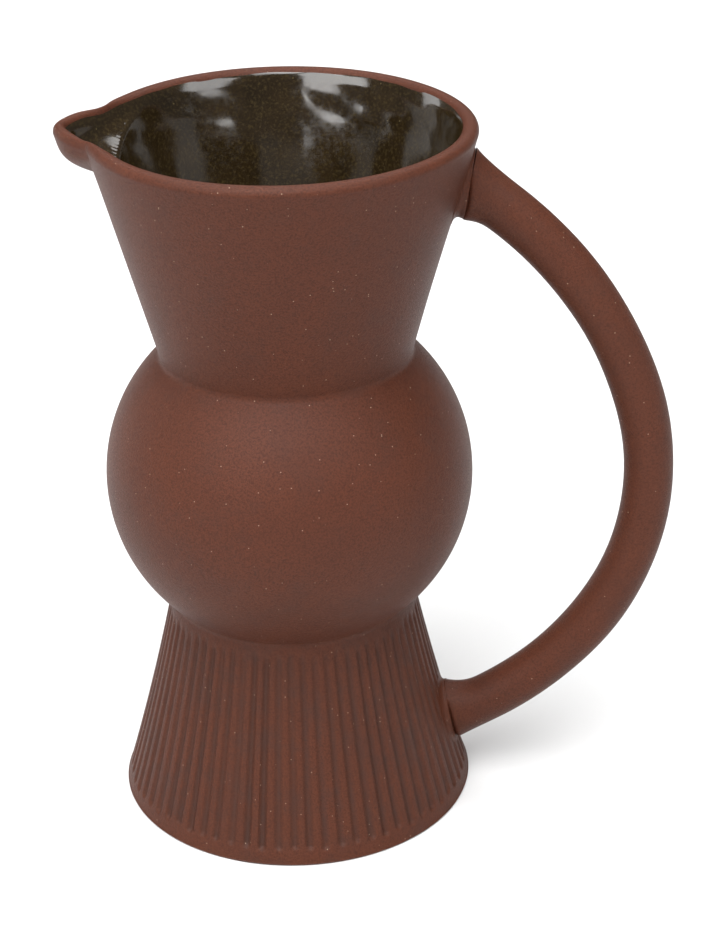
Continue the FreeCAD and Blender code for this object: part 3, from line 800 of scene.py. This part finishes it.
def make_glaze(material):
    azimuth = collar_azimuths()[None, :]
    radii, heights = glaze_section(azimuth)
    clay = place(radii, azimuth, heights)
    dip_rim(clay, azimuth)
    normals = grid_normals(clay[1:])
    normals = np.vstack([normals[:1], normals])
    normals[0] = (0, 0, -1)
    count = len(radii)
    row = np.arange(count)[:, None]
    turn = np.radians(azimuth)
    taper = np.sqrt(np.clip((count - 1 - row) / GLAZE_TAPER_ROWS, 0, 1))
    uneven = 0.05 * np.sin(9 * turn + row / 3.0) + 0.04 * np.sin(17 * turn - row / 2.0)
    thick = (GLAZE_THICKNESS + uneven) * taper
    face = clay - normals * thick[..., None]
    back = np.vstack([clay[-2:0:-BACK_STEP], clay[:1]])
    mesh = capped_mesh("glaze_coat", np.vstack([face, back])[:, ::-1], GLAZE_SHARP)
    add_piece(mesh, material, "glaze", "interior_glaze", "spout_glaze")


# Materials: noise scales are per metre, and bump distances are metres

def new_material(name):
    material = bpy.data.materials.new(name)
    material.use_nodes = True
    tree = material.node_tree
    tree.nodes.clear()
    shader = tree.nodes.new("ShaderNodeBsdfPrincipled")
    output = tree.nodes.new("ShaderNodeOutputMaterial")
    tree.links.new(shader.outputs["BSDF"], output.inputs["Surface"])
    return material, tree, shader


def coordinates(tree):
    return tree.nodes.new("ShaderNodeTexCoord").outputs["Object"]


def noise(tree, where, scale, detail=3.0, roughness=0.5):
    node = tree.nodes.new("ShaderNodeTexNoise")
    node.inputs["Scale"].default_value = scale
    node.inputs["Detail"].default_value = detail
    node.inputs["Roughness"].default_value = roughness
    tree.links.new(where, node.inputs["Vector"])
    return node.outputs["Fac"]


def scaled(tree, value, span, to_span):
    """A value moved from one span to another, and kept inside the second."""
    node = tree.nodes.new("ShaderNodeMapRange")
    for name, number in zip(("From Min", "From Max", "To Min", "To Max"), (*span, *to_span)):
        node.inputs[name].default_value = number
    tree.links.new(value, node.inputs["Value"])
    return node.outputs["Result"]


def math_node(tree, operation, first, second):
    node = tree.nodes.new("ShaderNodeMath")
    node.operation = operation
    for socket, value in zip(node.inputs, (first, second)):
        if isinstance(value, (int, float)):
            socket.default_value = value
        else:
            tree.links.new(value, socket)
    return node.outputs[0]


def mixed(tree, share, first, second):
    """Mix of two colours. The share and the colours are each a value or a socket."""
    node = tree.nodes.new("ShaderNodeMix")
    node.data_type = "RGBA"
    factor, a, b = node.inputs[0], node.inputs[6], node.inputs[7]
    for socket, value in ((factor, share), (a, first), (b, second)):
        if isinstance(value, bpy.types.NodeSocket):
            tree.links.new(value, socket)
        else:
            socket.default_value = value
    return node.outputs[2]


def specks(tree, where, scale, share, size):
    """Sparse round dots: 1 inside a dot, 0 elsewhere."""
    cells = tree.nodes.new("ShaderNodeTexVoronoi")
    cells.inputs["Scale"].default_value = scale
    tree.links.new(where, cells.inputs["Vector"])
    chosen = tree.nodes.new("ShaderNodeSeparateColor")
    tree.links.new(cells.outputs["Color"], chosen.inputs[0])
    picked = math_node(tree, "LESS_THAN", chosen.outputs[0], share)
    near = scaled(tree, cells.outputs["Distance"], (size, size * 0.6), (0, 1))
    return math_node(tree, "MULTIPLY", picked, near)


def bumped(tree, shader, height, distance, strength=1.0):
    node = tree.nodes.new("ShaderNodeBump")
    node.inputs["Strength"].default_value = strength
    node.inputs["Distance"].default_value = distance
    tree.links.new(height, node.inputs["Height"])
    tree.links.new(node.outputs["Normal"], shader.inputs["Normal"])


CLAY_MID = (0.079, 0.0242, 0.0127, 1)
CLAY_DARK = (0.050, 0.0155, 0.0086, 1)
CLAY_WARM = (0.087, 0.0258, 0.0128, 1)
CLAY_PALE = (0.36, 0.24, 0.17, 1)
CLAY_GREY = (0.045, 0.0225, 0.0175, 1)
CLAY_SPECULAR = 0.15
SPECK_STRENGTH = 0.8


def clay_material(name, stain, carved=False):
    """Bare fired clay: mottled, fine-grained, with a few pale specks.

    stain is the share of grey blotches. A carved piece also gets painted shade in its flutes: grey that
    deepens with each flute's depth.
    """
    material, tree, shader = new_material(name)
    where = coordinates(tree)
    broad = scaled(tree, noise(tree, where, scale=38), (0.35, 0.65), (0, 1))
    colour = mixed(tree, broad, CLAY_MID, CLAY_WARM)
    grain = noise(tree, where, scale=1500, detail=4, roughness=0.65)
    colour = mixed(tree, scaled(tree, grain, (0.58, 0.34), (0, 0.95)), colour, CLAY_DARK)
    patches = noise(tree, where, scale=85, detail=5, roughness=0.6)
    colour = mixed(tree, scaled(tree, patches, (0.5, 0.72), (0, stain)), colour, CLAY_GREY)
    # Painted shade in the flutes: grey by the groove's depth, made a little uneven by noise
    if carved:
        groove = tree.nodes.new("ShaderNodeAttribute")
        groove.attribute_name = "groove"
        uneven = noise(tree, where, scale=150, detail=4, roughness=0.6)
        share = scaled(tree, uneven, (0.3, 0.7), (0.3, 0.85))
        depth = math_node(tree, "MULTIPLY", groove.outputs["Fac"], share)
        colour = mixed(tree, depth, colour, CLAY_GREY)
    dots = math_node(tree, "MULTIPLY", specks(tree, where, scale=560, share=0.13, size=0.13), SPECK_STRENGTH)
    colour = mixed(tree, dots, colour, CLAY_PALE)
    tree.links.new(colour, shader.inputs["Base Color"])
    tree.links.new(scaled(tree, grain, (0.3, 0.7), (0.54, 0.42)), shader.inputs["Roughness"])
    shader.inputs["Specular IOR Level"].default_value = CLAY_SPECULAR
    fine = noise(tree, where, scale=3200, detail=2, roughness=0.6)
    coarse_height = math_node(tree, "MULTIPLY", grain, 0.7)
    fine_height = math_node(tree, "MULTIPLY", fine, 0.3)
    bumped(tree, shader, math_node(tree, "ADD", coarse_height, fine_height), distance=0.00026)
    return material


GLAZE_DARK = (0.0115, 0.0068, 0.0024, 1)
GLAZE_MID = (0.021, 0.0125, 0.0047, 1)
GLAZE_FLECK = (0.044, 0.030, 0.011, 1)
GLAZE_SPECK = (0.11, 0.085, 0.038, 1)
GLAZE_IOR = 1.72


def glaze_material():
    """Glossy dark olive-brown glass over clay, a little uneven."""
    material, tree, shader = new_material("olive_glaze")
    where = coordinates(tree)
    cloud = scaled(tree, noise(tree, where, scale=60, detail=4, roughness=0.6), (0.35, 0.7), (0, 1))
    colour = mixed(tree, cloud, GLAZE_DARK, GLAZE_MID)
    flecks = scaled(tree, noise(tree, where, scale=1100, roughness=0.6), (0.5, 0.68), (0, 0.75))
    colour = mixed(tree, flecks, colour, GLAZE_FLECK)
    dots = math_node(tree, "MULTIPLY", specks(tree, where, scale=450, share=0.05, size=0.15), SPECK_STRENGTH)
    colour = mixed(tree, dots, colour, GLAZE_SPECK)
    tree.links.new(colour, shader.inputs["Base Color"])
    waves = noise(tree, where, scale=95, detail=2)
    ripple = noise(tree, where, scale=420, detail=2)
    tree.links.new(scaled(tree, ripple, (0.3, 0.7), (0.07, 0.16)), shader.inputs["Roughness"])
    shader.inputs["IOR"].default_value = GLAZE_IOR
    height = math_node(tree, "ADD", waves, math_node(tree, "MULTIPLY", ripple, 0.12))
    bumped(tree, shader, height, distance=0.0005, strength=0.085)
    return material


FLOOR_GREY = (0.66, 0.66, 0.66, 1)
FLOOR_PALE = (0.68, 0.68, 0.68, 1)


def floor_material():
    material, tree, shader = new_material("studio_floor")
    tone = scaled(tree, noise(tree, coordinates(tree), scale=3, detail=2), (0.3, 0.7), (0, 1))
    tree.links.new(mixed(tree, tone, FLOOR_GREY, FLOOR_PALE), shader.inputs["Base Color"])
    shader.inputs["Roughness"].default_value = 0.9
    return material


# Studio: the camera's place is in millimetres, and the lights and the floor are in metres

CAMERA_PLACE = (64.5, -737.2, 494.6)
CAMERA_YAW = -3.1
CAMERA_PITCH = 26.55
CAMERA_ROLL = -0.85
CAMERA_LENS = 91.8
CAMERA_SENSOR = 36
WORLD_STRENGTH = 0.1
FLOOR_SPAN = 6.0


def add_camera():
    yaw, pitch, roll = (math.radians(a) for a in (CAMERA_YAW, CAMERA_PITCH, CAMERA_ROLL))
    forward = Vector((math.sin(yaw) * math.cos(pitch), math.cos(yaw) * math.cos(pitch), -math.sin(pitch)))
    level = forward.cross(Vector((0, 0, 1))).normalized()
    upright = level.cross(forward)
    right = level * math.cos(roll) + upright * math.sin(roll)
    up = upright * math.cos(roll) - level * math.sin(roll)
    data = bpy.data.cameras.new("camera")
    data.lens = CAMERA_LENS
    data.sensor_width = CAMERA_SENSOR
    camera = add_object("camera", data)
    turn = Matrix((right, up, -forward)).transposed().to_4x4()
    camera.matrix_world = Matrix.Translation(Vector(CAMERA_PLACE) * MM) @ turn
    bpy.context.scene.camera = camera


def direction(bearing, elevation):
    """Unit vector away from the pitcher. Bearing 0 is the camera's side, and 90 the handle's."""
    turn, lift = math.radians(bearing), math.radians(elevation)
    return Vector((math.sin(turn) * math.cos(lift), -math.cos(turn) * math.cos(lift), math.sin(lift)))


def add_light(name, data, away):
    """A light that shines towards the pitcher from the side given by a direction."""
    light = add_object(name, data)
    light.rotation_euler = away.to_track_quat("Z", "Y").to_euler()
    return light


def add_softbox(name, bearing, elevation, distance, width, height, radiance):
    """A rectangular soft light that faces the pitcher's rim."""
    data = bpy.data.lights.new(name, "AREA")
    data.shape = "RECTANGLE"
    data.size, data.size_y = width, height
    data.energy = radiance * math.pi * width * height
    away = direction(bearing, elevation)
    light = add_light(name, data, away)
    light.location = Vector((0, 0, TOP_Z * MM)) + away * distance


def add_sky(name, bearing, elevation, spread, strength):
    """A wide soft light from far away, so that the floor is as pale in the distance as it is nearby."""
    data = bpy.data.lights.new(name, "SUN")
    data.energy = strength
    data.angle = math.radians(spread)
    add_light(name, data, direction(bearing, elevation))


def add_world():
    world = bpy.data.worlds.new("studio")
    world.use_nodes = True
    background = world.node_tree.nodes["Background"]
    background.inputs["Color"].default_value = (1, 1, 1, 1)
    background.inputs["Strength"].default_value = WORLD_STRENGTH
    bpy.context.scene.world = world
    bpy.context.scene.view_settings.view_transform = "Standard"


def add_studio():
    add_softbox("left_front", -34, 26.5, distance=1.75, width=1.35, height=0.84, radiance=4.9)
    add_softbox("right_front", 56, 26, distance=1.75, width=1.05, height=0.76, radiance=3.7)
    add_softbox("overhead", -12, 66, distance=1.6, width=1.6, height=1.5, radiance=3.5)
    add_sky("ceiling", -12, 70, spread=60, strength=2.5)
    add_softbox("left_edge", -112, 14, distance=1.7, width=0.5, height=1.1, radiance=2.6)
    add_softbox("backdrop", 180, 52, distance=2.9, width=3.4, height=1.6, radiance=3.2)
    add_world()


def add_floor():
    mesh = bpy.data.meshes.new("studio_floor")
    corners = [(x * FLOOR_SPAN, y * FLOOR_SPAN, 0) for x, y in ((-1, -1), (1, -1), (1, 1), (-1, 1))]
    mesh.from_pydata(corners, [], [(0, 1, 2, 3)])
    mesh.materials.append(floor_material())
    floor = add_object("studio_floor", mesh)


def main():
    clay = clay_material("terracotta", 0.25)
    # carved=True adds painted shade in the base's flutes
    base_clay = clay_material("fluted_terracotta", 0.5, carved=True)
    slip = clay_material("slip", 0.3)
    glaze = glaze_material()
    make_base(base_clay)
    make_floor(clay)
    make_belly(clay)
    make_waist_slip(slip)
    make_neck_slip(slip)
    make_collar_pieces(clay, slip)
    top = Joint(pulled_collar, UPPER_JOINT_Z, UPPER_CREASE, UPPER_TILT, upper_flare, upper_groove, True)
    foot = Joint(base_outer, LOWER_JOINT_Z, LOWER_CREASE, LOWER_TILT, lower_flare, lower_groove, False)
    make_handle(clay, top, foot)
    make_joint_slip("upper_slip", slip, top, "upper_handle_joint")
    make_joint_slip("lower_slip", slip, foot, "lower_handle_joint")
    make_glaze(glaze)
    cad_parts["floor_joint"].data.materials.clear()
    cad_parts["floor_joint"].data.materials.append(slip)
    add_floor()
    add_studio()
    add_camera()


main()
